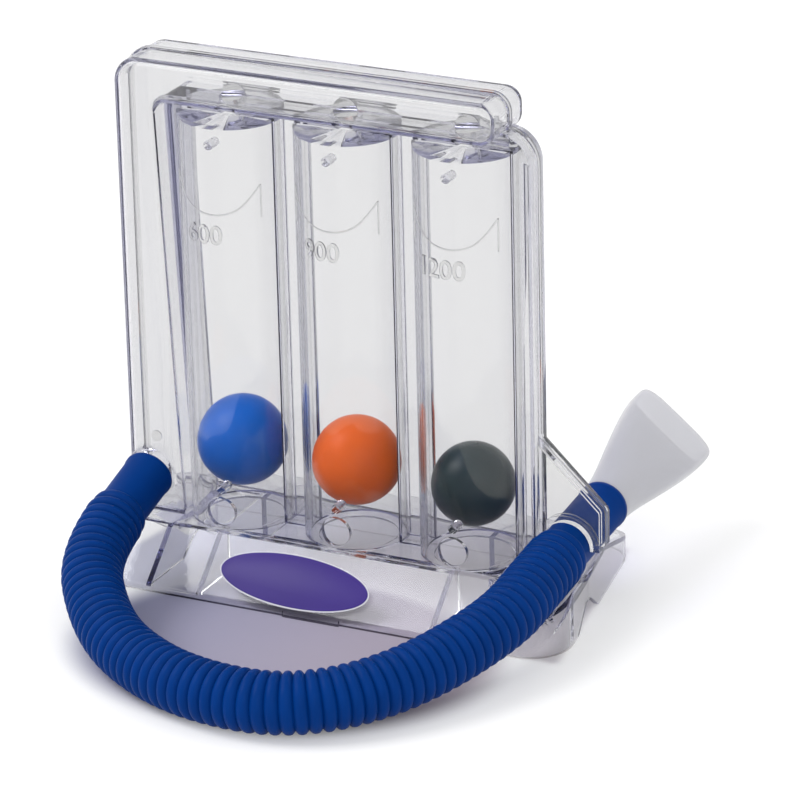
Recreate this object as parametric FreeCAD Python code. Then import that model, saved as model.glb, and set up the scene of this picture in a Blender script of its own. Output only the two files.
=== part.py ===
import FreeCAD, Part
import math
import os

# Three-ball incentive spirometer: a clear two-shell body with three ball chambers, a collecting
# duct, a splayed base, a corrugated hose on two cuffs and a pull-off mouthpiece.
# Millimetres, Z up. X runs along the row of chambers and Y from front to back.
# Sizes are measured from the middle chamber's axis, the parting plane and the table.
# Every piece is then moved so that the origin is the middle of the body's footprint.

Vector = FreeCAD.Vector
os.makedirs("parts", exist_ok=True)

# Ball chambers
chamber_pitch = 35.0
chamber_count = 3
chamber_bore = 26.7
chamber_wall = 1.4
chamber_floor_z = 15.0
chamber_height = 115.5
floor_thickness = 1.5
neck_bore = 6.0
neck_wall = 1.3
inlet_diameter = 8.4
inlet_above_floor = 5.0
floor_recess_diameter = 22.0
floor_recess_depth = 0.5

# Balls, lightest flow first, and the pegs that they rest on
ball_diameters = [25.4, 24.8, 23.2]
ball_names = ["blue_ball", "orange_ball", "dark_ball"]
ball_wall = 1.0
ball_seat_gap = 0.15
peg_diameter = 2.6
peg_gap = 19.0
lower_peg_above_floor = 11.4
upper_peg_below_roof = 4.6

# Slab that joins the chambers
slab_half_depth = 4.0
slab_right = 55.0
slab_corner = 9.0
slab_wall = 1.5
slab_into_manifold = 2.8

# Welded rim round the body where the two shells meet
rim_reach = 0.8
rim_half_depth = 0.8

# Collecting duct down the left side and along the top
duct_half_depth = 11.0
duct_wall = 1.5
duct_left = -65.5
duct_inner_top = -53.5
duct_inner_bottom = -48.6
duct_floor_z = 16.0
manifold_right = 47.0
manifold_gap = 3.7
manifold_height = 11.8
duct_corner = 7.0
duct_inner_corner = 3.0
duct_edge = 3.0
manifold_end_corner = 4.6

# Splayed base
base_half_width = 73.8
base_front = 30.0
base_back = 49.0
base_back_inset = 13.5
base_corner = 12.0
base_roof_z = 15.0
roof_half_depth = 15.6
front_rim = 2.2
back_rim = 5.0
base_wall = 1.6
base_plate = 1.7
arch_height = 7.5
arch_half_span = 12.0
rib_thickness = 1.5
rib_places = [-50.5, -35.0, 35.0, 50.5]
tab_width = 17.0
tab_step = 0.7
tab_below_rim = 0.6
front_rim_round = 0.6
back_rim_round = 2.0
roof_round = 2.0
notch_radius = 14.0
notch_depth = 2.8
notch_reach = 6.0
cradle_clearance = 0.7
cradle_front = 45.0
cradle_back = 60.0

# Hose nozzle on the duct
nozzle_x = -57.5
nozzle_z = 28.2
nozzle_tilt = 16.0
nozzle_bore = 8.4
nozzle_length = 14.0
collar_reach = 2.3

# Hose, its two cuffs and the mouthpiece
cuff_bore = 11.6
cuff_diameter = 13.8
cuff_clearance = 0.05
inlet_cuff_length = 17.5
outlet_cuff_length = 28.6
hose_diameter = 16.8
hose_bore = 12.4
hose_lead_in = 20.0
hose_lead_out = 16.0
outlet_x = 62.7
outlet_z = 20.9
outlet_tilt = 6.3
outlet_cuff_front = 4.6
mouth_length = 48.0
mouth_neck = 13.6
mouth_width = 27.0
mouth_thickness = 9.6
mouth_corner = 4.6
mouth_turn = -42.0
mouth_wall = 1.2
stub_length = 10.0

# Holder that the outlet cuff snaps into
hook_clearance = 0.3
hook_rim = 1.8
hook_tip = 74.3
hook_arm_top = 52.0
hook_shoulder_z = 33.4
hook_plate = 1.4
hook_bead = 3.0
hook_tip_z = 23.0
hook_shoulder_round = 3.0
hook_tip_round = 0.6

# Oval label on the front slope
label_width = 45.8
label_height = 16.0
label_thickness = 0.2
label_x = -8.0
label_up_slope = 8.2
label_turn = -2.4

ball_radii = [size / 2 for size in ball_diameters]
bore_radius = chamber_bore / 2
chamber_radius = bore_radius + chamber_wall
chamber_top_z = chamber_floor_z + chamber_height
manifold_bottom_z = chamber_top_z + manifold_gap
manifold_top_z = manifold_bottom_z + manifold_height
slab_top_z = manifold_bottom_z + slab_into_manifold
chamber_xs = [(i - (chamber_count - 1) / 2) * chamber_pitch for i in range(chamber_count)]
front_slope = math.atan2(base_roof_z - front_rim, base_front - roof_half_depth)
back_slope = math.atan2(base_roof_z - back_rim, base_back - roof_half_depth)
lower_peg_z = chamber_floor_z + lower_peg_above_floor
upper_peg_z = chamber_top_z - upper_peg_below_roof
outlet_angle = math.radians(outlet_tilt)
outlet_axis = Vector(0, math.cos(outlet_angle), math.sin(outlet_angle))
nozzle_angle = math.radians(nozzle_tilt)
nozzle_axis = Vector(0, -math.cos(nozzle_angle), -math.sin(nozzle_angle))
collar_seat = Vector(nozzle_x, -duct_half_depth, nozzle_z) + nozzle_axis * collar_reach
hook_radius = cuff_diameter / 2 + hook_clearance
far = 200.0


def block(low, high):
    size = high - low
    return Part.makeBox(size.x, size.y, size.z, low)


def rod(radius, start, end):
    return Part.makeCylinder(radius, (end - start).Length, start, end - start)


def rounded_wire(points, radii):
    """Closed wire through the points, each corner rounded with its own radius."""
    edges = []
    previous_end = None
    first_start = None
    count = len(points)
    for i in range(count):
        corner = points[i]
        back = (points[i - 1] - corner).normalize()
        ahead = (points[(i + 1) % count] - corner).normalize()
        radius = radii[i]
        half = math.acos(max(-1.0, min(1.0, back.dot(ahead)))) / 2
        reach = radius / math.tan(half)
        start = corner + back * reach
        end = corner + ahead * reach
        if previous_end is not None and (start - previous_end).Length > 1e-7:
            edges.append(Part.LineSegment(previous_end, start).toShape())
        if radius > 0:
            bisector = (back + ahead).normalize()
            middle = corner + bisector * (radius / math.sin(half) - radius)
            edges.append(Part.Arc(start, middle, end).toShape())
        if first_start is None:
            first_start = start
        previous_end = end
    if (first_start - previous_end).Length > 1e-7:
        edges.append(Part.LineSegment(previous_end, first_start).toShape())
    return Part.Wire(edges)


def prism(points, radii, reach):
    return Part.Face(rounded_wire(points, radii)).extrude(reach)


def front_outline(pairs, y):
    return [Vector(x, y, z) for x, z in pairs]


def end_outline(pairs, x):
    return [Vector(x, y, z) for y, z in pairs]


def edges_at_y(solid, y):
    def on_plane(edge):
        return all(abs(vertex.Point.y - y) < 1e-6 for vertex in edge.Vertexes)
    return [edge for edge in solid.Edges if on_plane(edge)]


def front_roof_z(y):
    return front_rim + (y + base_front) * math.tan(front_slope)


def back_roof_z(y):
    return back_rim + (base_back - y) * math.tan(back_slope)


# Collecting duct
def duct_plate(inset, half_depth):
    """Plate with the duct's outline, drawn in by the inset or grown where it is negative."""
    left = duct_left + inset
    top = manifold_top_z - inset
    right = manifold_right - inset
    under = manifold_bottom_z + inset
    floor = duct_floor_z - duct_wall + inset
    corners = [
        (left, floor),
        (left, top),
        (right, top),
        (right, under),
        (duct_inner_top - inset, under),
        (duct_inner_bottom - inset, floor),
    ]
    end_corner = manifold_end_corner - inset
    radii = [0.0, duct_corner - inset, end_corner, end_corner, duct_inner_corner + inset, 0.0]
    return prism(front_outline(corners, -half_depth), radii, Vector(0, 2 * half_depth, 0))


def duct_solid(inset):
    half_depth = duct_half_depth - inset
    solid = duct_plate(inset, half_depth)
    face_edges = edges_at_y(solid, -half_depth) + edges_at_y(solid, half_depth)
    return solid.makeFillet(duct_edge - inset, face_edges)


# Chambers
def chamber_outside(x):
    base = Vector(x, 0, chamber_floor_z - floor_thickness)
    top = Vector(x, 0, chamber_top_z + floor_thickness)
    neck_top = Vector(x, 0, manifold_bottom_z + duct_wall)
    return rod(chamber_radius, base, top).fuse(rod(neck_bore / 2 + neck_wall, top, neck_top))


def chamber_inside(x):
    floor = Vector(x, 0, chamber_floor_z)
    roof = Vector(x, 0, chamber_top_z)
    neck_top = Vector(x, 0, manifold_bottom_z + duct_wall + 1)
    inlet_z = chamber_floor_z + inlet_above_floor
    inlet = rod(inlet_diameter / 2, Vector(x, -chamber_radius - 1, inlet_z), Vector(x, 0, inlet_z))
    recess_top = Vector(x, 0, chamber_floor_z - floor_thickness + floor_recess_depth)
    recess = rod(floor_recess_diameter / 2, Vector(x, 0, -1), recess_top)
    return [rod(bore_radius, floor, roof), rod(neck_bore / 2, roof, neck_top), inlet, recess]


def pegs(x):
    """Round pegs that stop the ball at both ends, one pair low and one pair high."""
    found = []
    for z in (lower_peg_z, upper_peg_z):
        for side in (-1, 1):
            tip = Vector(x, side * peg_gap / 2, z)
            root = Vector(x, side * (bore_radius + chamber_wall / 2), z)
            found.append(rod(peg_diameter / 2, tip, root))
    return found


def slab_plate(left, bottom, inset, half_depth):
    top = slab_top_z - inset
    right = slab_right - inset
    corners = [(left, bottom), (left, top), (right, top), (right, bottom)]
    radii = [0.0, 0.0, slab_corner - inset, 0.0]
    return prism(front_outline(corners, -half_depth), radii, Vector(0, 2 * half_depth, 0))


def slab(inset, half_depth):
    left = duct_inner_top - duct_wall
    return slab_plate(left, chamber_floor_z - floor_thickness, inset, half_depth)


def slab_pockets():
    """Hollows in the slab beside the chambers, shut off from the air."""
    inside = slab_plate(chamber_xs[0], base_roof_z, slab_wall, slab_half_depth - slab_wall)
    return inside.cut([duct_solid(0)] + [chamber_outside(x) for x in chamber_xs])


def welded_rim():
    rim = duct_plate(-rim_reach, rim_half_depth).fuse(slab(-rim_reach, rim_half_depth))
    return rim.cut(cuff_space(hook_radius))


# Base
def base_plan(inset):
    """Plan outline of the base, narrower at the back, drawn in by the inset."""
    front = -base_front + inset
    back = base_back - inset
    wide = base_half_width - inset
    narrow = wide - base_back_inset
    points = [
        Vector(-wide, front, -1),
        Vector(wide, front, -1),
        Vector(narrow, back, -1),
        Vector(-narrow, back, -1),
    ]
    return prism(points, [base_corner - inset] * 4, Vector(0, 0, 40))


def base_outside():
    profile = [
        (-base_front, 0),
        (-base_front, front_rim),
        (-roof_half_depth, base_roof_z),
        (roof_half_depth, base_roof_z),
        (base_back, back_rim),
        (base_back, 0),
    ]
    radii = [0.0, front_rim_round, roof_round, roof_round, back_rim_round, 0.0]
    solid = prism(end_outline(profile, -base_half_width), radii, Vector(2 * base_half_width, 0, 0))
    return solid.common(base_plan(0)).cut([hose_cradle(0)] + end_notch()).fuse(front_tab())


def base_inside():
    front = -base_front + base_wall
    back = base_back - base_wall
    front_drop = base_plate / math.cos(front_slope)
    back_drop = base_plate / math.cos(back_slope)
    ceiling = chamber_floor_z - floor_thickness
    front_meet = -base_front + (ceiling + front_drop - front_rim) / math.tan(front_slope)
    back_meet = base_back - (ceiling + back_drop - back_rim) / math.tan(back_slope)
    profile = [
        (front, -1),
        (front, front_roof_z(front) - front_drop),
        (front_meet, ceiling),
        (back_meet, ceiling),
        (back, back_roof_z(back) - back_drop),
        (back, -1),
    ]
    solid = prism(end_outline(profile, -base_half_width), [0.0] * 6, Vector(2 * base_half_width, 0, 0))
    hollow = solid.common(base_plan(base_wall)).cut(hose_cradle(base_plate))
    return hollow.cut(Part.makeCompound(base_ribs()))


def base_ribs():
    ribs = []
    for x in rib_places:
        low = Vector(x - rib_thickness / 2, -base_front, front_rim / 2)
        high = Vector(x + rib_thickness / 2, base_back, chamber_floor_z)
        ribs.append(block(low, high))
    return ribs


def base_arch():
    """Arch under both ends of the base, so that it stands on its front and its back."""
    points = [(-arch_half_span, -1), (0, arch_height), (arch_half_span, -1)]
    radii = [0.0, arch_half_span / 2, 0.0]
    return prism(end_outline(points, -far), radii, Vector(2 * far, 0, 0))


def end_notch():
    """Dip between the front and back lobes at the base's two ends."""
    dip_z = base_roof_z - notch_depth
    inner = base_half_width - notch_reach
    cuts = []
    for side in (-1, 1):
        start = Vector(side * inner, 0, dip_z + notch_radius)
        end = Vector(side * far, 0, dip_z + notch_radius)
        cuts.append(rod(notch_radius, start, end))
    return cuts


def hose_cradle(extra):
    """Trough that the hose lies over at the base's right end."""
    radius = hose_diameter / 2 + cradle_clearance + extra
    middle = Vector(outlet_x, 0, outlet_z)
    return rod(radius, middle - outlet_axis * cradle_front, middle + outlet_axis * cradle_back)


def front_tab():
    low = Vector(-tab_width / 2, -base_front - tab_step, 0)
    high = Vector(tab_width / 2, -base_front + base_wall, front_rim - tab_below_rim)
    return block(low, high)


# Nozzle and holder
def nozzle_outside():
    collar = rod(cuff_diameter / 2, collar_seat - nozzle_axis * 8, collar_seat)
    spout_radius = cuff_bore / 2 - cuff_clearance
    spout = rod(spout_radius, collar_seat - nozzle_axis, collar_seat + nozzle_axis * nozzle_length)
    inside_duct = block(Vector(-far, -duct_half_depth + duct_wall / 2, 0), Vector(far, far, far))
    return collar.fuse(spout).cut(inside_duct)


def nozzle_inside():
    start = collar_seat - nozzle_axis * 8
    return rod(nozzle_bore / 2, start, collar_seat + nozzle_axis * (nozzle_length + 1))


def hook_outline(inset):
    """Arm from the slab's edge out to the clip's tip, drawn in by the inset."""
    arm_top = hook_arm_top - 1.6 * inset
    tip = hook_tip - inset
    root = slab_right - 3
    return [
        (root, arm_top),
        (slab_right, arm_top),
        (tip, hook_shoulder_z - 0.6 * inset),
        (tip, hook_tip_z),
        (tip - hook_rim, hook_tip_z),
        (tip - hook_rim, outlet_z),
        (root, outlet_z),
    ]


def cuff_space(radius):
    """Round space about the outlet cuff, right through the body."""
    return rod(radius, Vector(outlet_x, -far, outlet_z), Vector(outlet_x, far, outlet_z))


def holder():
    """Clear clip that hangs over the outlet cuff: a thin web inside a thicker rim."""
    bead = Vector(0, hook_bead, 0)
    outer_radii = [0.0, 0.0, hook_shoulder_round, hook_tip_round, hook_tip_round, 0.0, 0.0]
    inner_radii = [0.0, 0.0, hook_shoulder_round / 2, 0.0, 0.0, 0.0, 0.0]
    full = prism(front_outline(hook_outline(0), -hook_bead / 2), outer_radii, bead)
    inner = prism(front_outline(hook_outline(hook_rim), -hook_bead / 2), inner_radii, bead)
    ring = cuff_space(hook_radius + hook_rim)
    web = block(Vector(0, -hook_plate / 2, 0), Vector(far, hook_plate / 2, far))
    recess = inner.cut([ring, web])
    below = block(Vector(slab_right, -far, 0), Vector(outlet_x + hook_radius, far, outlet_z))
    return full.cut([recess, cuff_space(hook_radius), below])


# The two shells
def body():
    outside = duct_solid(0)
    joined = [slab(0, slab_half_depth), welded_rim(), nozzle_outside(), holder(), base_outside()]
    for piece in joined:
        outside = outside.fuse(piece)
    for x in chamber_xs:
        outside = outside.fuse(chamber_outside(x))
    cavities = [duct_solid(duct_wall), slab_pockets(), base_inside(), base_arch(), nozzle_inside()]
    for x in chamber_xs:
        cavities += chamber_inside(x)
    shaped = outside.cut(cavities)
    all_pegs = [peg for x in chamber_xs for peg in pegs(x)]
    return shaped.fuse(all_pegs).removeSplitter()


def footprint_shift(whole):
    """Move that puts the middle of the body's footprint at the origin."""
    box = whole.optimalBoundingBox(False, False)
    return Vector(-round((box.XMin + box.XMax) / 2, 2), -round((box.YMin + box.YMax) / 2, 2), 0)


def shells(whole):
    front_space = block(Vector(-far, -far, -far), Vector(far, 0, far))
    back_space = block(Vector(-far, 0, -far), Vector(far, far, far))
    return whole.common(front_space), whole.common(back_space)


# Balls
def ball(i):
    radius = ball_radii[i]
    centre = Vector(chamber_xs[i], 0, ball_rest_z(i))
    return Part.makeSphere(radius, centre).cut(Part.makeSphere(radius - ball_wall, centre))


def ball_rest_z(i):
    """Centre height of a ball that sits on the rims of the two lower pegs' tips."""
    reach = ball_radii[i] + ball_seat_gap
    return lower_peg_z + peg_diameter / 2 + math.sqrt(reach ** 2 - (peg_gap / 2) ** 2)


def ball_travel(i):
    reach = ball_radii[i] + ball_seat_gap
    top = upper_peg_z - peg_diameter / 2 - math.sqrt(reach ** 2 - (peg_gap / 2) ** 2)
    return top - ball_rest_z(i)


# Hose
def hose_route():
    start = collar_seat + nozzle_axis * inlet_cuff_length
    end = Vector(outlet_x, 0, outlet_z) - outlet_axis * outlet_cuff_front
    middle = [
        Vector(-44.5, -71.1, 11.2),
        Vector(-25.9, -85.0, 8.6),
        Vector(-3.8, -97.4, 8.6),
        Vector(27.6, -97.2, 8.6),
        Vector(49.5, -76.1, 10.4),
        Vector(62.6, -42.1, 15.4),
    ]
    return [start, start + nozzle_axis * hose_lead_in] + middle + [end - outlet_axis * hose_lead_out, end]


def tangent_path(points):
    """Straight runs joined by arcs as large as the two runs allow."""
    edges = []
    radii = []
    here = points[0]
    for i in range(1, len(points) - 1):
        corner = points[i]
        back = points[i - 1] - corner
        ahead = points[i + 1] - corner
        cut = 0.45 * min(back.Length, ahead.Length)
        turn = math.pi - back.getAngle(ahead)
        start = corner + back.normalize() * cut
        end = corner + ahead.normalize() * cut
        radius = cut / math.tan(turn / 2)
        bisector = (back + ahead).normalize()
        middle = corner + bisector * (radius / math.cos(turn / 2) - radius)
        edges.append(Part.LineSegment(here, start).toShape())
        edges.append(Part.Arc(start, middle, end).toShape())
        radii.append(radius)
        here = end
    edges.append(Part.LineSegment(here, points[-1]).toShape())
    return Part.Wire(edges), radii


def hose():
    points = hose_route()
    path, radii = tangent_path(points)
    heading = points[1] - points[0]
    rings = [Part.Wire(Part.makeCircle(d / 2, points[0], heading)) for d in (hose_diameter, hose_bore)]
    tubes = [path.makePipeShell([ring], True, False) for ring in rings]
    solid = tubes[0].cut(tubes[1])
    section = math.pi * (hose_diameter ** 2 - hose_bore ** 2) / 4
    print("hose radii", [round(radius, 1) for radius in radii])
    print("hose length", round(path.Length, 1))
    print("hose volume", round(solid.Volume), "section times length", round(section * path.Length))
    return solid


def cuff(start, axis, length):
    tube = rod(cuff_diameter / 2, start, start + axis * length)
    bore = rod(cuff_bore / 2, start - axis, start + axis * (length + 1))
    return tube.cut(bore)


# Mouthpiece
def mouth_wire(distance, width, thickness, corner):
    """Rounded rectangle square to the outlet axis, at a distance from the cuff's end."""
    turn = math.radians(mouth_turn)
    middle = mouth_start() + outlet_axis * distance
    up = Vector(0, -math.sin(outlet_angle), math.cos(outlet_angle))
    across = Vector(math.cos(turn), 0, 0) + up * math.sin(turn)
    upright = up * math.cos(turn) - Vector(math.sin(turn), 0, 0)
    corners = [(-1, -1), (1, -1), (1, 1), (-1, 1)]
    points = [middle + across * (a * width / 2) + upright * (b * thickness / 2) for a, b in corners]
    return rounded_wire(points, [corner] * 4)


def mouth_start():
    reach = outlet_cuff_length - outlet_cuff_front
    return Vector(outlet_x, 0, outlet_z) + outlet_axis * reach


def mouth_loft(inset):
    """Round neck that opens into a wide flat mouth."""
    stations = [
        (0.0, mouth_neck, mouth_neck, mouth_neck * 0.49),
        (mouth_length * 0.22, mouth_neck * 1.14, mouth_neck * 0.96, mouth_neck * 0.46),
        (mouth_length * 0.6, mouth_width * 0.84, mouth_thickness * 1.14, mouth_corner),
        (mouth_length * 0.9, mouth_width, mouth_thickness, mouth_corner),
        (mouth_length, mouth_width * 0.96, mouth_thickness, mouth_corner),
    ]
    wires = []
    for distance, width, thickness, corner in stations:
        wires.append(mouth_wire(distance, width - 2 * inset, thickness - 2 * inset, corner - inset))
    return Part.makeLoft(wires, True, False)


def mouthpiece():
    stub_radius = cuff_bore / 2 - cuff_clearance
    start = mouth_start()
    stub_end = start + outlet_axis * mouth_wall
    stub = rod(stub_radius, start - outlet_axis * stub_length, stub_end)
    bore_start = start - outlet_axis * (stub_length + 1)
    bore = rod(stub_radius - mouth_wall, bore_start, stub_end + outlet_axis)
    return mouth_loft(0).cut(mouth_loft(mouth_wall)).fuse(stub).cut(bore)


# Label
def label():
    """Thin oval laid on the front slope."""
    oval = Part.Ellipse(Vector(0, 0, 0), label_width / 2, label_height / 2)
    plate = Part.Face(Part.Wire(oval.toShape())).extrude(Vector(0, 0, label_thickness))
    plate.rotate(Vector(0, 0, 0), Vector(0, 0, 1), label_turn)
    plate.rotate(Vector(0, 0, 0), Vector(1, 0, 0), math.degrees(front_slope))
    y = -base_front + label_up_slope * math.cos(front_slope)
    plate.translate(Vector(label_x, y, front_roof_z(y)))
    return plate


def save(name, shape):
    placed = shape.copy()
    placed.translate(origin_shift)
    solids = placed.Solids
    result = solids[0] if len(solids) == 1 else Part.makeCompound(solids)
    result.exportStep("parts/" + name + ".step")
    print(name, "solids", len(solids), "volume", round(result.Volume), "valid", result.isValid())


whole_body = body()
origin_shift = footprint_shift(whole_body)
front_shell, back_shell = shells(whole_body)
save("front_shell", front_shell)
save("back_shell", back_shell)
for number, ball_name in enumerate(ball_names):
    save(ball_name, ball(number))
    print(ball_name, "travel", round(ball_travel(number), 2))
save("hose", hose())
save("nozzle_cuff", cuff(collar_seat, nozzle_axis, inlet_cuff_length))
outlet_cuff_start = Vector(outlet_x, 0, outlet_z) - outlet_axis * outlet_cuff_front
save("mouth_cuff", cuff(outlet_cuff_start, outlet_axis, outlet_cuff_length))
save("mouthpiece", mouthpiece())
save("label", label())
print("origin shift", origin_shift)
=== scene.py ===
import math

import bmesh
import bpy
from mathutils import Matrix, Vector


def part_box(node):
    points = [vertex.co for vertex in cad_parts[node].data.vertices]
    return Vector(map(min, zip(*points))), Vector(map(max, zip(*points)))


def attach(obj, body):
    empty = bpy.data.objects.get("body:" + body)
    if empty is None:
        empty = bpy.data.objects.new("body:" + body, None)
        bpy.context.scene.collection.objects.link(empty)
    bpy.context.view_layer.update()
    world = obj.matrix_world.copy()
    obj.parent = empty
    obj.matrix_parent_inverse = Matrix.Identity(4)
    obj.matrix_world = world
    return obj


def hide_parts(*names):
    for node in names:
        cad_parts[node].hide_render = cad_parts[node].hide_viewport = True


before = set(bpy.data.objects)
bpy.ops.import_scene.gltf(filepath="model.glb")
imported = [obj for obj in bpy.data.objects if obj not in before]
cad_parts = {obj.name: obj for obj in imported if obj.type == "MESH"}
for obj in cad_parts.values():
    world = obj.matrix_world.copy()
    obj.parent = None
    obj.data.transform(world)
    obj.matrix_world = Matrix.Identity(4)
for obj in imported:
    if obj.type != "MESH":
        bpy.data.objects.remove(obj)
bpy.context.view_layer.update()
scene = bpy.context.scene
scene.view_settings.view_transform = "Standard"
bounceLimit = 48  # light crosses many clear walls and is mirrored along them
for kind in ("max_bounces", "glossy_bounces", "transmission_bounces", "transparent_max_bounces"):
    setattr(scene.cycles, kind, bounceLimit)

# Sizes are in millimetres from the middle chamber's axis, as in the CAD source
originShift = Vector((-1.36, -9.15, 0.0))
nozzleAxis = Vector((0, -0.96126, -0.27564))
outletAxis = Vector((0, 0.99396, 0.10973))
outletPoint = Vector((62.7, 0, 20.9))
outletSetBack = 4.6  # how far the mouth cuff starts before that point


def toFrame(x, y, z):
    return (Vector((x, y, z)) + originShift) / 1000


def addObject(name, data):
    made = bpy.data.objects.new(name, data)
    scene.collection.objects.link(made)
    return made


def finishPiece(piece, material, body, replaced=()):
    piece.data.materials.clear()
    piece.data.materials.append(material)
    if replaced:
        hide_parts(*replaced)
    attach(piece, body)
    return piece


def meshPiece(name, bm, sharpAngle=35):
    mesh = bpy.data.meshes.new(name)
    bm.to_mesh(mesh)
    bm.free()
    mesh.shade_smooth()
    mesh.set_sharp_from_angle(angle=math.radians(sharpAngle))
    return addObject(name, mesh)


def evaluatedMesh(piece):
    bpy.context.view_layer.update()
    ready = piece.evaluated_get(bpy.context.evaluated_depsgraph_get())
    return bpy.data.meshes.new_from_object(ready)


# Camera
cameraPlan = {
    "target": (13.46, 0.0, 55.3),
    "azimuth": 26.5,
    "elevation": 22.0,
    "roll": -1.4,
    "distance": 1392.0,
    "lens": 232.3,
    "sensor": 36,
    "reach": 20,
}


def makeCamera():
    turns = ("azimuth", "elevation", "roll")
    azimuth, elevation, roll = (math.radians(cameraPlan[key]) for key in turns)
    flat = math.cos(elevation)
    back = Vector((math.sin(azimuth) * flat, -math.cos(azimuth) * flat, math.sin(elevation)))
    right = Vector((math.cos(azimuth), math.sin(azimuth), 0))
    up = back.cross(right)
    turnedRight = right * math.cos(roll) + up * math.sin(roll)
    turnedUp = up * math.cos(roll) - right * math.sin(roll)
    pose = Matrix((turnedRight, turnedUp, back)).transposed().to_4x4()
    pose.translation = toFrame(*cameraPlan["target"]) + back * cameraPlan["distance"] / 1000
    camera = addObject("camera", bpy.data.cameras.new("camera"))
    camera.data.sensor_width = cameraPlan["sensor"]
    camera.data.lens = cameraPlan["lens"]
    camera.data.clip_end = cameraPlan["reach"]
    camera.matrix_world = pose
    scene.camera = camera


makeCamera()
print("camera ready")

# Shared node groups and materials
surfacePlan = {"grainDetail": 3.0, "grainShare": 0.12, "ior": 1.46, "bumpDepth": 0.0004, "mottle": 0.15}


def newGroup(name, inputs, outputs):
    group = bpy.data.node_groups.new(name, "ShaderNodeTree")
    for label, kind, value in inputs:
        socket = group.interface.new_socket(label, in_out="INPUT", socket_type=kind)
        if value is not None:
            socket.default_value = value
    for label, kind in outputs:
        group.interface.new_socket(label, in_out="OUTPUT", socket_type=kind)
    return group, group.nodes.new("NodeGroupInput"), group.nodes.new("NodeGroupOutput")


def mouldedGroup():
    group, given, out = newGroup(
        "mouldedSurface",
        [
            ("Vector", "NodeSocketVector", None),
            ("Waviness Scale", "NodeSocketFloat", 60.0),
            ("Grain Scale", "NodeSocketFloat", 900.0),
            ("Roughness", "NodeSocketFloat", 0.2),
            ("Roughness Spread", "NodeSocketFloat", 0.1),
        ],
        [("Roughness", "NodeSocketFloat"), ("Height", "NodeSocketFloat"), ("Mottle", "NodeSocketFloat")],
    )
    nodes, links = group.nodes, group.links
    waves = nodes.new("ShaderNodeTexNoise")
    grain = nodes.new("ShaderNodeTexNoise")
    grain.inputs["Detail"].default_value = surfacePlan["grainDetail"]
    links.new(given.outputs["Vector"], waves.inputs["Vector"])
    links.new(given.outputs["Vector"], grain.inputs["Vector"])
    links.new(given.outputs["Waviness Scale"], waves.inputs["Scale"])
    links.new(given.outputs["Grain Scale"], grain.inputs["Scale"])
    blend = nodes.new("ShaderNodeMath")
    blend.operation = "MULTIPLY_ADD"  # fine grain over slow waves
    blend.inputs[1].default_value = surfacePlan["grainShare"]
    links.new(grain.outputs[0], blend.inputs[0])
    links.new(waves.outputs[0], blend.inputs[2])
    spread = nodes.new("ShaderNodeMath")
    spread.operation = "MULTIPLY_ADD"
    links.new(waves.outputs[0], spread.inputs[0])
    links.new(given.outputs["Roughness Spread"], spread.inputs[1])
    links.new(given.outputs["Roughness"], spread.inputs[2])
    links.new(spread.outputs[0], out.inputs["Roughness"])
    links.new(blend.outputs[0], out.inputs["Height"])
    links.new(waves.outputs[0], out.inputs["Mottle"])
    return group


mouldedSurface = mouldedGroup()
lookSockets = {
    "waves": "Waviness Scale", "grain": "Grain Scale", "roughness": "Roughness", "spread": "Roughness Spread",
}


def startMaterial(name, look):
    material = bpy.data.materials.new(name)
    material.use_nodes = True
    nodes, links = material.node_tree.nodes, material.node_tree.links
    shader = nodes["Principled BSDF"]
    shader.inputs["Base Color"].default_value = (*look["color"], 1)
    shader.inputs["IOR"].default_value = surfacePlan["ior"]
    shader.inputs["Specular IOR Level"].default_value = look.get("specular", 0.5)
    place = nodes.new("ShaderNodeTexCoord")
    moulded = nodes.new("ShaderNodeGroup")
    moulded.node_tree = mouldedSurface
    links.new(place.outputs["Object"], moulded.inputs["Vector"])
    for key, socket in lookSockets.items():
        moulded.inputs[socket].default_value = look[key]
    bump = nodes.new("ShaderNodeBump")
    bump.inputs["Strength"].default_value = look["bump"]
    bump.inputs["Distance"].default_value = surfacePlan["bumpDepth"]
    links.new(moulded.outputs["Height"], bump.inputs["Height"])
    links.new(bump.outputs["Normal"], shader.inputs["Normal"])
    links.new(moulded.outputs["Roughness"], shader.inputs["Roughness"])
    return material, shader, moulded


def mathNode(nodes, links, operation, source, *values):
    node = nodes.new("ShaderNodeMath")
    node.operation = operation
    links.new(source, node.inputs[0])
    for place, value in enumerate(values, 1):
        node.inputs[place].default_value = value
    return node.outputs[0]


def joinMath(nodes, links, operation, first, second):
    joined = mathNode(nodes, links, operation, first)
    links.new(second, joined.node.inputs[1])
    return joined


def colorMix(nodes, links, factor, first, second):
    mix = nodes.new("ShaderNodeMix")
    mix.data_type = "RGBA"
    links.new(factor, mix.inputs["Factor"])
    for socket, color in (("A", first), ("B", second)):
        if isinstance(color, tuple):
            mix.inputs[socket].default_value = (*color, 1)
        else:
            links.new(color, mix.inputs[socket])
    return mix.outputs["Result"]


def mottleColor(material, shader, moulded, color):
    nodes, links = material.node_tree.nodes, material.node_tree.links
    dark, light = (tuple(Vector(color) * (1 + side * surfacePlan["mottle"])) for side in (-1, 1))
    mottled = colorMix(nodes, links, moulded.outputs["Mottle"], dark, light)
    links.new(mottled, shader.inputs["Base Color"])


def mixShaders(nodes, links, factor, first, second):
    mix = nodes.new("ShaderNodeMixShader")
    links.new(factor, mix.inputs["Fac"])
    links.new(first, mix.inputs[1])
    links.new(second, mix.inputs[2])
    return mix.outputs[0]


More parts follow.
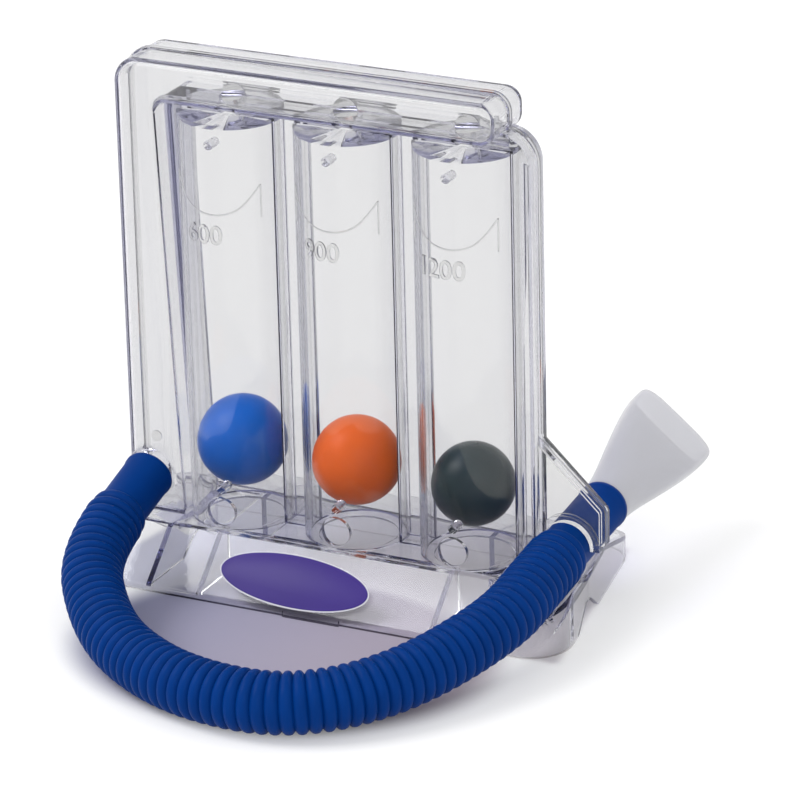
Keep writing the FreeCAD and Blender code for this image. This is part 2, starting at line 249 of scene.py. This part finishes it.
def seeThrough(material, shader, moulded, clear):
    nodes, links = material.node_tree.nodes, material.node_tree.links
    facing = nodes.new("ShaderNodeLayerWeight").outputs["Facing"]
    edge = mathNode(nodes, links, "POWER", facing, clear["edgePower"])
    tint = colorMix(nodes, links, edge, clear["face"], clear["edge"])
    through = nodes.new("ShaderNodeBsdfTransparent")
    links.new(tint, through.inputs["Color"])
    haze = mathNode(nodes, links, "MULTIPLY_ADD", edge, clear["hazeEdge"], clear["hazeFace"])
    body = mixShaders(nodes, links, haze, through.outputs[0], shader.outputs[0])
    gloss = nodes.new("ShaderNodeBsdfAnisotropic")
    links.new(moulded.outputs["Roughness"], gloss.inputs["Roughness"])
    links.new(shader.inputs["Normal"].links[0].from_socket, gloss.inputs["Normal"])
    grazing = mathNode(nodes, links, "POWER", facing, clear["shinePower"])
    shine = mathNode(nodes, links, "MULTIPLY_ADD", grazing, 1 - clear["shine"], clear["shine"])
    surface = mixShaders(nodes, links, shine, body, gloss.outputs[0])
    links.new(surface, nodes["Material Output"].inputs["Surface"])


def castClear(material, shader, cast):
    nodes, links = material.node_tree.nodes, material.node_tree.links
    shader.inputs["Transmission Weight"].default_value = cast["clear"]
    shader.inputs["IOR"].default_value = cast["ior"]
    shadow = nodes.new("ShaderNodeBsdfTransparent")
    shadow.inputs["Color"].default_value = (*cast["shadow"], 1)
    path = nodes.new("ShaderNodeLightPath")
    surface = mixShaders(nodes, links, path.outputs["Is Shadow Ray"], shader.outputs[0], shadow.outputs[0])
    links.new(surface, nodes["Material Output"].inputs["Surface"])
    depth = nodes.new("ShaderNodeVolumeAbsorption")
    depth.inputs["Color"].default_value = (*cast["depthColor"], 1)
    depth.inputs["Density"].default_value = cast["density"]
    links.new(depth.outputs[0], nodes["Material Output"].inputs["Volume"])


ballFinish = {"waves": 90, "grain": 1500, "spread": 0.14}
labelFinish = {"waves": 30, "grain": 2500, "roughness": 0.32, "spread": 0.08, "bump": 0.03}
looks = {
    "clearBody": {
        "color": (0.895, 0.895, 0.878), "waves": 45, "grain": 700, "roughness": 0.0, "spread": 0.02,
        "bump": 0.02,
        "cast": {
            "clear": 0.985, "ior": 1.33, "shadow": (0.95, 0.95, 0.97),
            "depthColor": (0.5, 0.5, 0.68), "density": 90.0,
        },
    },
    "milkyPlastic": {
        "color": (0.8, 0.8, 0.84), "waves": 60, "grain": 900, "roughness": 0.3, "spread": 0.12, "bump": 0.08,
        "clear": {
            "face": (0.85, 0.85, 0.87), "edge": (0.6, 0.6, 0.63), "edgePower": 1.5,
            "hazeFace": 0.4, "hazeEdge": 0.3, "shine": 0.04, "shinePower": 5.0,
        },
    },
    "blueBall": {**ballFinish, "color": (0.0, 0.13, 0.6), "specular": 0.15, "roughness": 0.24, "bump": 0.02},
    "orangeBall": {
        **ballFinish, "color": (0.95, 0.15, 0.01), "specular": 0.15, "roughness": 0.3, "bump": 0.02,
    },
    "darkBall": {
        **ballFinish, "color": (0.005, 0.022, 0.026), "specular": 0.25, "roughness": 0.22, "bump": 0.015,
    },
    "hoseBlue": {
        "color": (0.0, 0.036, 0.21), "specular": 0.06, "waves": 120, "grain": 1400, "roughness": 0.36,
        "spread": 0.15, "bump": 0.12,
    },
    "labelFilm": {**labelFinish, "color": (0.06, 0.035, 0.25), "specular": 0.2},
    "labelRim": {**labelFinish, "color": (0.72, 0.72, 0.78)},
}
materials = {}
for lookName, look in looks.items():
    made, shader, moulded = startMaterial(lookName, look)
    if "clear" in look:
        seeThrough(made, shader, moulded, look["clear"])
    elif "cast" in look:
        castClear(made, shader, look["cast"])
    else:
        mottleColor(made, shader, moulded, look["color"])
    materials[lookName] = made
print("materials ready")

# Hose
hosePlan = {
    "route": [
        (-57.5, -30.03, 22.74),
        (-57.5, -49.26, 17.23),
        (-42.1, -71.1, 11.2),
        (-25.9, -85.0, 8.6),
        (-1.1, -97.3, 8.6),
        (28.1, -97.2, 8.6),
        (49.5, -76.1, 10.4),
        (62.6, -42.1, 15.4),
        (62.7, -20.48, 18.64),
        (62.7, -4.57, 20.40),
    ],
    "length": 0.227,
    "ridge": 8.4,
    "depth": 1.15,
    "bore": 6.2,
    "pitch": 3.2,
    "ring": [  # share of the pitch, share of the depth
        (0.0, 0.0), (0.1, 0.4), (0.24, 0.82), (0.4, 0.98), (0.5, 1.0), (0.6, 0.98), (0.76, 0.82), (0.9, 0.4),
    ],
    "endRise": 0.62,
    "steps": 44,
    "smoothness": 32,
}


def makeRoute():
    curve = bpy.data.curves.new("hoseRoute", "CURVE")
    curve.dimensions = "3D"
    curve.resolution_u = hosePlan["smoothness"]
    curve.twist_mode = "MINIMUM"
    spline = curve.splines.new("NURBS")
    spline.points.add(len(hosePlan["route"]) - 1)
    for point, stop in zip(spline.points, hosePlan["route"]):
        point.co = (*toFrame(*stop), 1)
    spline.order_u = 3
    spline.use_endpoint_u = True
    return addObject("hoseRoute", curve)


def spunMesh(bm, profile, steps):
    corners = [bm.verts.new((along / 1000, 0, radius / 1000)) for along, radius in profile]
    sides = [bm.edges.new(pair) for pair in zip(corners, corners[1:] + corners[:1])]
    bmesh.ops.spin(
        bm, geom=corners + sides, cent=(0, 0, 0), axis=(1, 0, 0), angle=math.tau, steps=steps,
        use_merge=True,
    )
    bmesh.ops.remove_doubles(bm, verts=bm.verts, dist=1e-7)
    bmesh.ops.recalc_face_normals(bm, faces=bm.faces)


def makeHose():
    route = makeRoute()
    line = [v.co.copy() for v in evaluatedMesh(route).vertices]
    length = sum((b - a).length for a, b in zip(line, line[1:])) * 1000
    rings = round(length / hosePlan["pitch"])
    pitch = length / rings
    valley = hosePlan["ridge"] - hosePlan["depth"]
    outer = []
    for ring in range(rings):
        height = hosePlan["endRise"] if ring in (0, rings - 1) else 1.0  # the end rings are lower
        for share, rise in hosePlan["ring"]:
            outer.append(((ring + share) * pitch, valley + (hosePlan["depth"] * height) * rise))
    outer.append((length, valley))
    inner = [(ring * pitch, hosePlan["bore"]) for ring in range(rings, -1, -1)]
    bm = bmesh.new()
    spunMesh(bm, outer + inner, hosePlan["steps"])
    straight = meshPiece("hoseStraight", bm, 60)
    bend = straight.modifiers.new("bend", "CURVE")
    bend.object = route
    bend.deform_axis = "POS_X"
    hose = addObject("hoseTube", evaluatedMesh(straight))
    hose.data.shade_smooth()
    bpy.data.objects.remove(straight)
    bpy.data.objects.remove(route)
    finishPiece(hose, materials["hoseBlue"], "housing", ["hose"])
    return hose, line


def spunPiece(name, profile, start, axis, steps=64, sharpAngle=35):
    bm = bmesh.new()
    spunMesh(bm, profile, steps)
    turn = Vector((1, 0, 0)).rotation_difference(axis).to_matrix().to_4x4()
    turn.translation = toFrame(*start)
    bmesh.ops.transform(bm, matrix=turn, verts=bm.verts)
    return meshPiece(name, bm, sharpAngle)


cuffPlan = {
    "outer": 6.9,
    "bore": 5.8,
    "rim": 7.15,
    "rimLength": 1.8,
    "lip": [(0.0, 0.5), (0.15, 0.15), (0.5, 0.0)],  # along the rim, below its crest
    "shoulder": [(-0.4, 0.0), (0.0, 0.1)],
    "fall": 0.3,
    "nozzleLength": 17.5,
    "mouthLength": 28.6,
}


def cuffProfile(length, rimAtStart):
    outer, bore, rim, rimLength = (cuffPlan[key] for key in ("outer", "bore", "rim", "rimLength"))
    outside = [(along, rim - drop) for along, drop in cuffPlan["lip"]]
    outside += [(rimLength + along, rim - drop) for along, drop in cuffPlan["shoulder"]]
    outside += [(rimLength + cuffPlan["fall"], outer), (length, outer)]
    if not rimAtStart:
        outside = [(length - along, radius) for along, radius in reversed(outside)]
    return outside + [(length, bore), (0.0, bore)]


hose, hoseLine = makeHose()
collarReach = 2.3
collarSeat = Vector((-57.5, -11.0, 28.2)) + nozzleAxis * collarReach
nozzleCuff = spunPiece("nozzleCuff", cuffProfile(cuffPlan["nozzleLength"], True), collarSeat, nozzleAxis)
finishPiece(nozzleCuff, materials["hoseBlue"], "housing", ["nozzle_cuff"])
mouthCuffStart = outletPoint - outletAxis * outletSetBack
mouthCuff = spunPiece("mouthCuff", cuffProfile(cuffPlan["mouthLength"], False), mouthCuffStart, outletAxis)
finishPiece(mouthCuff, materials["hoseBlue"], "housing", ["mouth_cuff"])
print("hose and cuffs ready")

# Mouthpiece
mouthPlan = {
    "wall": 1.2,
    "turn": -42.0,
    "segments": 48,
    "stations": [  # distance from the cuff's end, width, thickness, squareness
        (-9.9, 11.3, 11.3, 2.0),
        (-0.6, 11.3, 11.3, 2.0),
        (0.05, 11.6, 11.6, 2.0),
        (0.1, 13.2, 13.2, 2.0),
        (0.6, 13.6, 13.6, 2.0),
        (4.0, 14.0, 13.5, 2.0),
        (10.6, 15.8, 13.0, 2.1),
        (20.0, 19.6, 12.0, 2.6),
        (30.0, 23.4, 10.7, 3.3),
        (40.0, 26.5, 9.8, 3.8),
        (45.5, 26.8, 9.6, 4.0),
        (47.6, 26.2, 9.4, 4.0),
    ],
}


def squared(value, squareness):
    return math.copysign(abs(value) ** (2 / squareness), value)


def makeMouthpiece():
    turn = math.radians(mouthPlan["turn"])
    up = Vector((0, -outletAxis.z, outletAxis.y))
    across = Vector((math.cos(turn), 0, 0)) + up * math.sin(turn)
    upright = up * math.cos(turn) - Vector((math.sin(turn), 0, 0))
    start = outletPoint + outletAxis * (cuffPlan["mouthLength"] - outletSetBack)
    bm = bmesh.new()
    ring = bmesh.ops.create_circle(bm, segments=mouthPlan["segments"], radius=1.0)["verts"]
    angles = [math.atan2(v.co.y, v.co.x) for v in ring]
    edges = list(bm.edges)
    for number, (distance, width, thickness, squareness) in enumerate(mouthPlan["stations"]):
        if number:
            grown = bmesh.ops.extrude_edge_only(bm, edges=edges)["geom"]
            edges = [g for g in grown if isinstance(g, bmesh.types.BMEdge)]
            news = [g for g in grown if isinstance(g, bmesh.types.BMVert)]
            edges = [e for e in edges if all(v in news for v in e.verts)]
            ring = [next(e.other_vert(v) for e in v.link_edges if e.other_vert(v) in news) for v in ring]
        for vert, angle in zip(ring, angles):
            a = squared(math.cos(angle), squareness) * width / 2
            b = squared(math.sin(angle), squareness) * thickness / 2
            vert.co = toFrame(*(start + outletAxis * distance + across * a + upright * b))
    bmesh.ops.recalc_face_normals(bm, faces=bm.faces)
    piece = meshPiece("mouthpieceFlare", bm, 70)
    wall = piece.modifiers.new("wall", "SOLIDIFY")
    wall.thickness = mouthPlan["wall"] / 1000
    wall.offset = -1
    smooth = piece.modifiers.new("smooth", "SUBSURF")
    smooth.levels = smooth.render_levels = 1
    return finishPiece(piece, materials["milkyPlastic"], "mouthpiece", ["mouthpiece"])


mouthpiece = makeMouthpiece()
print("mouthpiece ready")

# Balls
ballPlan = {
    "blue_ball": {"look": "blueBall", "seam": (0.35, 0.2, 0.9)},
    "orange_ball": {"look": "orangeBall", "seam": (0.8, -0.3, 0.5)},
    "dark_ball": {"look": "darkBall", "seam": (-0.5, 0.4, 0.75)},
}
seamPlan = {"half": 0.045, "rise": 0.0035, "points": 65, "steps": 96}  # weld line, as shares


def makeBall(node, plan):
    low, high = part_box(node)
    radius = (high - low).z / 2 * 1000
    profile = []
    for i in range(seamPlan["points"]):
        angle = math.pi * i / (seamPlan["points"] - 1)
        near = max(0.0, 1 - abs(angle - math.pi / 2) / seamPlan["half"])
        reach = radius * (1 - seamPlan["rise"] + seamPlan["rise"] * near)
        profile.append((-reach * math.cos(angle), reach * math.sin(angle)))
    middle = (low + high) / 2 * 1000 - originShift
    axis = Vector(plan["seam"]).normalized()
    ball = spunPiece(node + "Shell", profile, middle, axis, seamPlan["steps"], 60)
    return finishPiece(ball, materials[plan["look"]], node, [node])


for node, plan in ballPlan.items():
    makeBall(node, plan)
print("balls ready")

# Clear body, from the two CAD shells
shellPlan = {
    "overlap": 0.01,
    "chambers": (-35.0, 0.0, 35.0),
    "tubes": (13.35, 14.75),
    "near": 0.03,
    "square": 0.98,
    "sharpAngle": 14,  # small roundings stay faceted, or they bend light wrongly
}


def tubeNormal(point, faceNormal):
    middle = min(shellPlan["chambers"], key=lambda x: abs(point.x - x))
    radial = Vector((point.x - middle, point.y, 0))
    if min(abs(radial.length - radius) for radius in shellPlan["tubes"]) > shellPlan["near"]:
        return None
    radial.normalize()
    facing = radial.dot(faceNormal)
    return radial * math.copysign(1, facing) if abs(facing) > shellPlan["square"] else None


def cleanNormals(piece):
    weighted = piece.modifiers.new("weighted", "WEIGHTED_NORMAL")
    weighted.keep_sharp = True
    weighted.weight = 100
    mesh = evaluatedMesh(piece)
    normals = [corner.vector.copy() for corner in mesh.corner_normals]
    spots = [v.co * 1000 - originShift for v in mesh.vertices]
    for face in mesh.polygons:
        found = [tubeNormal(spots[i], face.normal) for i in face.vertices]
        if all(found):
            for corner, normal in zip(face.loop_indices, found):
                normals[corner] = normal
    mesh.normals_split_custom_set(normals)
    piece.modifiers.clear()
    piece.data = mesh


def makeShell(node, side):
    bm = bmesh.new()
    bm.from_mesh(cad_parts[node].data)
    bmesh.ops.remove_doubles(bm, verts=bm.verts, dist=1e-6)
    parting = toFrame(0, 0, 0).y
    for vert in bm.verts:
        if abs(vert.co.y - parting) < 1e-6:
            vert.co.y -= side * shellPlan["overlap"] / 1000  # welded, so light sees no air gap
    piece = meshPiece(node + "Clear", bm, shellPlan["sharpAngle"])
    cleanNormals(piece)
    return finishPiece(piece, materials["clearBody"], "housing", [node])


makeShell("front_shell", -1)
makeShell("back_shell", 1)
print("body ready")

# Flow numbers, level marks and gate marks on the body
markPlan = {
    "chambers": [(-35.0, "600"), (0.0, "900"), (35.0, "1200")],
    "radius": 14.75,
    "numberHeight": 5.2,
    "capShare": 0.7,  # a digit's height in its font size
    "numberBottom": 98.4,
    "numberMiddle": -1.8,
    "rise": 0.22,
    "round": 0.05,
    "stroke": 0.08,
    "arc": [
        (-12.3, 115.5), (-9.0, 110.2), (-4.0, 107.3), (1.2, 106.4), (6.2, 107.2), (10.6, 110.0),
        (14.7, 114.8),
    ],
    "ticks": [
        [(14.7, 114.8), (14.7, 110.0), (14.7, 105.5)],
        [(-12.3, 116.8), (-12.3, 112.0), (-12.3, 106.8)],
    ],
    "line": 0.22,
    "lift": 0.02,  # keeps a mark's underside off the wall
    "discs": [(-28.0, 140.0, 3.7), (5.0, 140.0, 3.7), (40.6, 140.0, 3.7), (-55.9, 38.0, 1.6)],
    "discFront": -11.0,
    "discRise": 0.3,
    "discRound": 0.1,
    "discSides": 48,
}


def ontoChamber(x, across, z, lift):
    reach = markPlan["radius"] + lift
    angle = across / markPlan["radius"]
    return toFrame(x + reach * math.sin(angle), -reach * math.cos(angle), z)


def makeNumber(x, words):
    text = bpy.data.curves.new("number" + words, "FONT")
    text.body = words
    text.align_x = "CENTER"
    text.size = markPlan["numberHeight"] / markPlan["capShare"]
    text.extrude = markPlan["rise"]
    text.bevel_depth = markPlan["round"]
    text.offset = markPlan["stroke"]
    flat = addObject("flat" + words, text)
    bm = bmesh.new()
    bm.from_mesh(evaluatedMesh(flat))
    bpy.data.objects.remove(flat)
    bmesh.ops.remove_doubles(bm, verts=bm.verts, dist=1e-5)
    bmesh.ops.recalc_face_normals(bm, faces=bm.faces)
    for vert in bm.verts:
        across, upward, lift = vert.co
        vert.co = ontoChamber(x, across + markPlan["numberMiddle"], markPlan["numberBottom"] + upward, lift)
    piece = meshPiece("flowNumber" + words, bm, 30)
    return finishPiece(piece, materials["clearBody"], "housing")


def makeLine(name, x, stops):
    curve = bpy.data.curves.new(name, "CURVE")
    curve.dimensions = "3D"
    curve.bevel_depth = markPlan["line"] / 1000
    curve.bevel_resolution = 2
    curve.use_fill_caps = True
    curve.resolution_u = 12
    spline = curve.splines.new("NURBS")
    spline.points.add(len(stops) - 1)
    for point, (across, z) in zip(spline.points, stops):
        point.co = (*ontoChamber(x, across, z, markPlan["lift"]), 1)
    spline.order_u = 3
    spline.use_endpoint_u = True
    source = addObject(name + "Curve", curve)
    bm = bmesh.new()
    bm.from_mesh(evaluatedMesh(source))
    bpy.data.objects.remove(source)
    piece = meshPiece(name, bm, 50)
    return finishPiece(piece, materials["clearBody"], "housing")


def roundTop(bm, top, reach):
    edges = [e for e in bm.edges if all(v in top for v in e.verts)]
    bmesh.ops.bevel(bm, geom=edges, offset=reach, segments=2, profile=0.5, affect="EDGES", material=-1)


def makeDisc(number, x, z, radius):
    bm = bmesh.new()
    bmesh.ops.create_circle(bm, cap_ends=True, segments=markPlan["discSides"], radius=radius / 1000)
    grown = bmesh.ops.extrude_face_region(bm, geom=list(bm.faces))["geom"]
    top = [g for g in grown if isinstance(g, bmesh.types.BMVert)]
    bmesh.ops.translate(bm, verts=top, vec=(0, 0, markPlan["discRise"] / 1000))
    roundTop(bm, top, markPlan["discRound"] / 1000)
    turn = Matrix.Rotation(math.radians(90), 4, "X")
    turn.translation = toFrame(x, markPlan["discFront"] + markPlan["lift"], z)
    bmesh.ops.transform(bm, matrix=turn, verts=bm.verts)
    bmesh.ops.recalc_face_normals(bm, faces=bm.faces)
    piece = meshPiece("gateMark%d" % number, bm, 30)
    return finishPiece(piece, materials["clearBody"], "housing")


for x, words in markPlan["chambers"]:
    makeNumber(x, words)
    makeLine("levelArc" + words, x, markPlan["arc"])
    for side, tick in enumerate(markPlan["ticks"]):
        makeLine("levelTick%d" % side + words, x, tick)
for number, (x, z, radius) in enumerate(markPlan["discs"]):
    makeDisc(number, x, z, radius)
print("marks ready")

# Label
labelPlan = {
    "width": 45.8,
    "height": 16.0,
    "thickness": 0.2,
    "border": 0.45,
    "round": 0.04,
    "rimTop": 0.6,  # shares of the thickness
    "filmBottom": 0.65,
    "x": -8.0,
    "upSlope": 8.2,
    "turn": -2.4,
    "sides": 96,
}
frontSlope = {"rimZ": 2.2, "roofZ": 15.0, "front": -30.0, "roofFront": -15.6}


def makeOval(name, width, height, low, high, material):
    rise = frontSlope["roofZ"] - frontSlope["rimZ"]
    slope = math.atan2(rise, frontSlope["roofFront"] - frontSlope["front"])
    along = labelPlan["upSlope"] * math.cos(slope)
    bm = bmesh.new()
    bmesh.ops.create_circle(bm, cap_ends=True, segments=labelPlan["sides"], radius=0.5)
    bmesh.ops.transform(bm, matrix=Matrix.Diagonal((width, height, 1, 1)), verts=bm.verts)
    grown = bmesh.ops.extrude_face_region(bm, geom=list(bm.faces))["geom"]
    top = [g for g in grown if isinstance(g, bmesh.types.BMVert)]
    bmesh.ops.translate(bm, verts=bm.verts, vec=(0, 0, low))
    bmesh.ops.translate(bm, verts=top, vec=(0, 0, high - low))
    roundTop(bm, top, labelPlan["round"])
    pose = Matrix.Rotation(slope, 4, "X") @ Matrix.Rotation(math.radians(labelPlan["turn"]), 4, "Z")
    pose.translation = toFrame(
        labelPlan["x"], frontSlope["front"] + along, frontSlope["rimZ"] + along * math.tan(slope)
    )
    bmesh.ops.transform(bm, matrix=pose @ Matrix.Scale(0.001, 4), verts=bm.verts)
    bmesh.ops.recalc_face_normals(bm, faces=bm.faces)
    piece = meshPiece(name, bm, 30)
    return finishPiece(piece, material, "housing", ["label"])


thick, border = labelPlan["thickness"], labelPlan["border"]
rimTop, filmBottom = thick * labelPlan["rimTop"], thick * labelPlan["filmBottom"]
makeOval("labelEdge", labelPlan["width"], labelPlan["height"], 0.0, rimTop, materials["labelRim"])
makeOval(
    "labelOval", labelPlan["width"] - 2 * border, labelPlan["height"] - 2 * border,
    filmBottom, thick, materials["labelFilm"],
)
print("label ready")

# Floor, world and lights
studio = {
    "world": 0.78,
    "floorColor": 0.8,
    "floorGlow": 0.3,
    "paintedShadeLeft": (0.36, 0.37, 0.52),  # painted shade: a darker patch of floor inside the hose's loop and under the foot, lavender on the left and pinkish on the right
    "paintedShadeRight": (0.5, 0.43, 0.49),
    "loop": {"middle": (2.0, -50.0), "half": (58.0, 47.0), "soft": 0.12},
    # painted shade under the foot is weaker, at the given share of the loop's
    "foot": {
        "front": -30.0, "middle": 9.5, "halfDepth": 38.5, "frontHalf": 72.5, "taper": 0.17, "soft": 2.0,
        "share": 0.6,
    },
    "floorHalf": 6,
    "aim": (0, 0, 0.06),
    "lamps": [  # place, aimed at the object's middle, size and watts
        {"name": "keyLamp", "at": (-0.9, -0.5, 1.25), "size": 0.7, "watts": 9.0},
        {"name": "fillLamp", "at": (0.7, -1.3, 0.9), "size": 0.9, "watts": 3.0},
    ],
}


def seenDirectly(nodes, links):
    path = nodes.new("ShaderNodeLightPath").outputs
    mirrored = joinMath(nodes, links, "MAXIMUM", path["Is Camera Ray"], path["Is Glossy Ray"])
    return joinMath(nodes, links, "MAXIMUM", mirrored, path["Is Transmission Ray"])


def vectorMath(nodes, links, operation, source, *values):
    node = nodes.new("ShaderNodeVectorMath")
    node.operation = operation
    links.new(source, node.inputs[0])
    for place, value in enumerate(values, 1):
        node.inputs[place].default_value = value
    return node.outputs


def fade(nodes, links, source, outer, inner):
    soft = nodes.new("ShaderNodeMapRange")
    soft.interpolation_type = "SMOOTHSTEP"
    soft.inputs["From Min"].default_value = outer
    soft.inputs["From Max"].default_value = inner
    links.new(source, soft.inputs["Value"])
    return soft.outputs["Result"]


# Painted shade: a soft mask over the floor inside the hose's loop and, weaker, under the foot.
def paintedShadeMask(nodes, links):
    place = nodes.new("ShaderNodeTexCoord").outputs["Object"]
    scale = (1000, 1000, 1000)
    spot = vectorMath(nodes, links, "MULTIPLY_ADD", place, scale, -originShift)[0]
    loop, foot = studio["loop"], studio["foot"]
    centred = vectorMath(nodes, links, "SUBTRACT", spot, (*loop["middle"], 0))[0]
    shrink = (1 / loop["half"][0], 1 / loop["half"][1], 0)
    scaled = vectorMath(nodes, links, "MULTIPLY", centred, shrink)[0]
    reach = vectorMath(nodes, links, "LENGTH", scaled)["Value"]
    inLoop = fade(nodes, links, reach, 1 + loop["soft"], 1 - loop["soft"])
    parts = nodes.new("ShaderNodeSeparateXYZ")
    links.new(spot, parts.inputs[0])
    wide = mathNode(nodes, links, "ABSOLUTE", parts.outputs["X"])
    slant = (foot["taper"], -foot["front"] * foot["taper"])
    lean = mathNode(nodes, links, "MULTIPLY_ADD", parts.outputs["Y"], *slant)
    side = joinMath(nodes, links, "ADD", wide, lean)
    inside = fade(nodes, links, side, foot["frontHalf"] + foot["soft"], foot["frontHalf"] - foot["soft"])
    fromMiddle = mathNode(nodes, links, "SUBTRACT", parts.outputs["Y"], foot["middle"])
    away = mathNode(nodes, links, "ABSOLUTE", fromMiddle)
    between = fade(nodes, links, away, foot["halfDepth"] + foot["soft"], foot["halfDepth"] - foot["soft"])
    footprint = joinMath(nodes, links, "MULTIPLY", inside, between)
    underFoot = mathNode(nodes, links, "MULTIPLY", footprint, foot["share"])
    return joinMath(nodes, links, "MAXIMUM", inLoop, underFoot), scaled


def makeFloor():
    material = bpy.data.materials.new("floorWithPaintedShade")
    material.use_nodes = True
    nodes, links = material.node_tree.nodes, material.node_tree.links
    nodes.remove(nodes["Principled BSDF"])
    mask, spot = paintedShadeMask(nodes, links)
    parts = nodes.new("ShaderNodeSeparateXYZ")
    links.new(spot, parts.inputs[0])
    across = mathNode(nodes, links, "MULTIPLY_ADD", parts.outputs["X"], 0.5, 0.5)
    paintedShade = colorMix(nodes, links, across, studio["paintedShadeLeft"], studio["paintedShadeRight"])
    white = (studio["floorColor"],) * 3
    diffuse = nodes.new("ShaderNodeBsdfDiffuse")
    links.new(colorMix(nodes, links, mask, white, paintedShade), diffuse.inputs["Color"])
    # The glow is taken away where the painted shade lies, so the patch shows darker to the camera.
    glow = nodes.new("ShaderNodeEmission")
    bare = mathNode(nodes, links, "MULTIPLY_ADD", mask, -studio["floorGlow"], studio["floorGlow"])
    strength = joinMath(nodes, links, "MULTIPLY", seenDirectly(nodes, links), bare)
    links.new(strength, glow.inputs["Strength"])
    both = nodes.new("ShaderNodeAddShader")
    links.new(diffuse.outputs[0], both.inputs[0])
    links.new(glow.outputs[0], both.inputs[1])
    links.new(both.outputs[0], nodes["Material Output"].inputs["Surface"])
    bm = bmesh.new()
    bmesh.ops.create_grid(bm, x_segments=1, y_segments=1, size=studio["floorHalf"])
    floor = meshPiece("floor", bm)
    floor.data.materials.append(material)


def makeWorld():
    world = bpy.data.worlds.new("studio")
    world.use_nodes = True
    nodes, links = world.node_tree.nodes, world.node_tree.links
    background = nodes["Background"]
    background.inputs["Color"].default_value = (1, 1, 1, 1)
    strength = nodes.new("ShaderNodeMapRange")
    strength.inputs["To Min"].default_value = studio["world"]
    strength.inputs["To Max"].default_value = 1.0
    links.new(seenDirectly(nodes, links), strength.inputs["Value"])
    links.new(strength.outputs["Result"], background.inputs["Strength"])
    scene.world = world


def makeLamps():
    for plan in studio["lamps"]:
        lamp = bpy.data.lights.new(plan["name"], "AREA")
        lamp.size = plan["size"]
        lamp.energy = plan["watts"]
        stand = addObject(plan["name"], lamp)
        stand.location = plan["at"]
        aim = Vector(studio["aim"]) - Vector(plan["at"])
        stand.rotation_euler = aim.to_track_quat("-Z", "Y").to_euler()


makeFloor()
makeWorld()
makeLamps()
print("studio ready")
